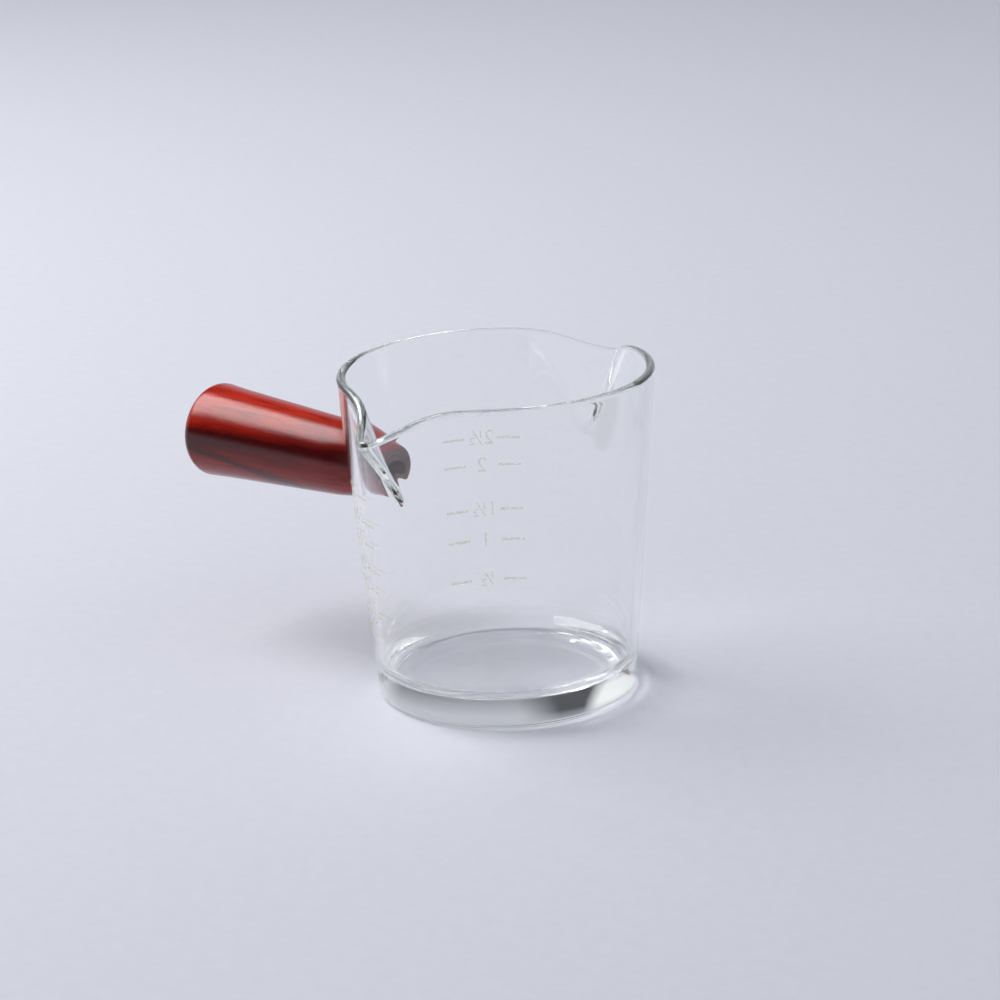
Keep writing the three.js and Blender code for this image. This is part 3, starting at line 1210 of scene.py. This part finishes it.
@dataclass
class Studio:
    """The table, the lamp and the room round the object, and how far light is followed in the glass."""

    table_radius: float = 6.0
    table_thickness: float = 20.0 * MM
    table_columns: int = 64
    air_film: float = 0.05 * MM
    key_power: float = 11.5
    key_size: Range = (0.78, 0.75)
    key_place: tuple[float, float, float] = (-0.73, -0.18, 0.85)
    key_aim: tuple[float, float, float] = (0.0, 0.0, 0.03)
    dim_wall: Colour = (0.05, 0.052, 0.058, 1.0)
    ceiling: Colour = (0.16, 0.165, 0.18, 1.0)
    ceiling_rise: Range = (0.55, 0.95)
    pale_sides: tuple[PaleSide, ...] = (
        PaleSide(85.0, (0.46, 0.63), (0.28, 0.50), (0.50, 0.51, 0.57, 1.0)),
        PaleSide(185.0, (0.839, 0.891), (0.40, 0.55), (0.96, 0.97, 0.98, 1.0)),
        PaleSide(140.0, (0.34, 0.64), (0.20, 0.29), (0.50, 0.51, 0.56, 1.0)),
        PaleSide(-15.0, (-0.10, 0.45), (0.92, 1.0), (0.80, 0.81, 0.86, 1.0)))
    max_bounces: int = 96
    glossy_bounces: int = 64
    transmission_bounces: int = 96
    transparent_bounces: int = 16

    def _lay_table(self) -> Piece:
        """Lays a wide round table top under the object, with a film of air between them.

        Returns:
            The table top.
        """
        Bench.clear()
        bpy.ops.mesh.primitive_circle_add(vertices=self.table_columns, radius=self.table_radius,
                                          fill_type="TRIFAN")
        table = bpy.context.object
        table.name = table.data.name = "table_top"
        bpy.ops.object.mode_set(mode="EDIT")
        bpy.ops.mesh.select_all(action="SELECT")
        bpy.ops.transform.translate(value=(0, 0, -self.air_film))
        bpy.ops.mesh.extrude_region_move(TRANSFORM_OT_translate={"value": (0, 0, -self.table_thickness)})
        bpy.ops.mesh.select_all(action="SELECT")
        bpy.ops.mesh.normals_make_consistent(inside=False)
        bpy.ops.object.mode_set(mode="OBJECT")
        Bench.dress(table, TableTop().make())
        return table

    def _hang_key(self) -> Piece:
        """Hangs the large soft lamp.

        Returns:
            The lamp.
        """
        Bench.clear()
        aim = Vector(self.key_aim) - Vector(self.key_place)
        bpy.ops.object.light_add(type="AREA", location=self.key_place,
                                 rotation=aim.to_track_quat("-Z", "Y").to_euler())
        key = bpy.context.object
        key.name = "window_lamp"
        key.data.shape = "RECTANGLE"
        key.data.size, key.data.size_y = self.key_size
        key.data.energy = self.key_power
        return key

    def _pale_side(self, bench: NodeBench, direction: Socket, height: Socket,
                   side: PaleSide) -> Socket:
        """Gives how pale the room is towards one side.

        Args:
            bench: The room's nodes.
            direction: The direction that is looked in.
            height: The upward part of that direction.
            side: The pale side.

        Returns:
            The socket of the share of paleness.
        """
        turn = math.radians(side.azimuth)
        towards = bench.add("ShaderNodeVectorMath", "towards the pale side", operation="DOT_PRODUCT")
        towards.inputs[1].default_value = (math.cos(turn), math.sin(turn), 0.0)
        bench.join(direction, towards.inputs[0])
        pale = bench.span(towards.outputs["Value"], side.edges, (0.0, 1.0), "pale side")
        low = bench.span(height, side.rise, (1.0, 0.0), "pale near the table")
        share = bench.add("ShaderNodeMath", "share of paleness", operation="MULTIPLY")
        bench.join(pale, share.inputs[0])
        bench.join(low, share.inputs[1])
        return share.outputs["Value"]

    def _fill_room(self) -> None:
        """Lights the room: dim walls and ceiling, and pale sides near the table."""
        world = bpy.data.worlds.new("room")
        bpy.context.scene.world = world
        world.use_nodes = True
        world.node_tree.nodes.clear()
        bench = NodeBench(world.node_tree)
        place = bench.add("ShaderNodeTexCoord", "direction")
        parts = bench.add("ShaderNodeSeparateXYZ", "parts of the direction")
        bench.join(place.outputs["Generated"], parts.inputs["Vector"])
        rise = bench.span(parts.outputs["Z"], self.ceiling_rise, (0.0, 1.0), "rise")
        colour = bench.blend(rise, self.dim_wall, self.ceiling, "wall to ceiling")
        for side in self.pale_sides:
            share = self._pale_side(bench, place.outputs["Generated"], parts.outputs["Z"], side)
            colour = bench.blend(share, colour, side.colour, "dim to pale")
        back = bench.add("ShaderNodeBackground", "room light", {"Strength": 1.0})
        output = bench.add("ShaderNodeOutputWorld", "output")
        bench.join(colour, back.inputs["Color"])
        bench.join(back.outputs["Background"], output.inputs["Surface"])

    def build(self) -> None:
        """Sets the studio up."""
        self._lay_table()
        self._hang_key()
        self._fill_room()
        bpy.context.scene.view_settings.view_transform = "Standard"
        cycles = bpy.context.scene.cycles
        cycles.blur_glossy = 0.0
        cycles.max_bounces = self.max_bounces
        cycles.glossy_bounces = self.glossy_bounces
        cycles.transmission_bounces = self.transmission_bounces
        cycles.transparent_max_bounces = self.transparent_bounces


@dataclass
class PhotoCamera:
    """The camera, at the photograph's viewing angle. Angles are in degrees."""

    azimuth: float = 40.3
    elevation: float = 18.08
    distance: float = 643.2 * MM
    turn_height: float = 30.0 * MM
    aim: tuple[float, float, float] = (-0.1 * MM, -0.1 * MM, 37.45 * MM)
    roll: float = 2.32
    focal_pixels: float = 3357.0
    image_pixels: float = 1000.0
    sensor: float = 36.0
    near: float = 10.0 * MM

    def build(self) -> Piece:
        """Places the camera and makes it the scene's own.

        Returns:
            The camera.
        """
        azimuth, elevation = math.radians(self.azimuth), math.radians(self.elevation)
        level = self.distance * math.cos(elevation)
        place = Vector((level * math.sin(azimuth), -level * math.cos(azimuth),
                        self.turn_height + self.distance * math.sin(elevation)))
        look = (Vector(self.aim) - place).to_track_quat("-Z", "Y")
        turned = look.to_matrix().to_4x4() @ Matrix.Rotation(math.radians(-self.roll), 4, "Z")
        Bench.clear()
        bpy.ops.object.camera_add(location=place, rotation=turned.to_euler())
        camera = bpy.context.object
        camera.name = "photo_camera"
        camera.data.sensor_width = self.sensor
        camera.data.lens = self.focal_pixels * self.sensor / self.image_pixels
        camera.data.clip_start = self.near
        bpy.context.scene.camera = camera
        return camera


def ounce_scale(form: CupForm) -> PrintedScale:
    """Lays out the scale in ounces.

    Args:
        form: The cup's form.

    Returns:
        The scale.
    """
    heights = {"½": 13.2, "1": 21.3, "1½": 27.5, "2": 36.5, "2½": 42.0}
    inner, outer, centre = 3.4 * MM, 8.2 * MM, 137.75
    rows = [ScaleRow(height * MM, number, inner, outer) for number, height in heights.items()]
    return PrintedScale(ScaleUnit.OUNCE, form, centre, rows)


def millilitre_scale(form: CupForm) -> PrintedScale:
    """Lays out the scale in millilitres.

    Args:
        form: The cup's form.

    Returns:
        The scale.
    """
    heights = {"15": 14.7, "25": 18.6, "35": 23.8, "45": 28.0, "55": 33.05, "65": 37.45, "75": 42.4}
    long_rows = ("25", "45", "65")
    inner, outer, long_outer, centre = 3.4 * MM, 7.6 * MM, 9.2 * MM, 232.5
    rows = [ScaleRow(height * MM, number, inner, long_outer if number in long_rows else outer)
            for number, height in heights.items()]
    return PrintedScale(ScaleUnit.MILLILITRE, form, centre, rows)


def main() -> None:
    """Builds the pieces in order and reports each."""
    logging.basicConfig(level=logging.INFO, format="%(name)s: %(message)s")
    form, joint = CupForm(), HandleJoint()
    PhotoCamera().build()
    Studio().build()
    enamel = FiredEnamel().make()
    handle = TurnedHandle(form, joint)
    pieces = [GlassCup(form, joint).build(ClearGlass().make()),
              handle.build(LacqueredRosewood().make()),
              JointResin(form, joint, handle).build(CuredResin().make()),
              ounce_scale(form).build(enamel),
              millilitre_scale(form).build(enamel)]
    for piece in pieces:
        piece.data.calc_loop_triangles()
        LOG.info("%s: %d triangles, finish %s", piece.name, len(piece.data.loop_triangles),
                 piece.data.materials[0].name)


if __name__ == "__main__":
    main()
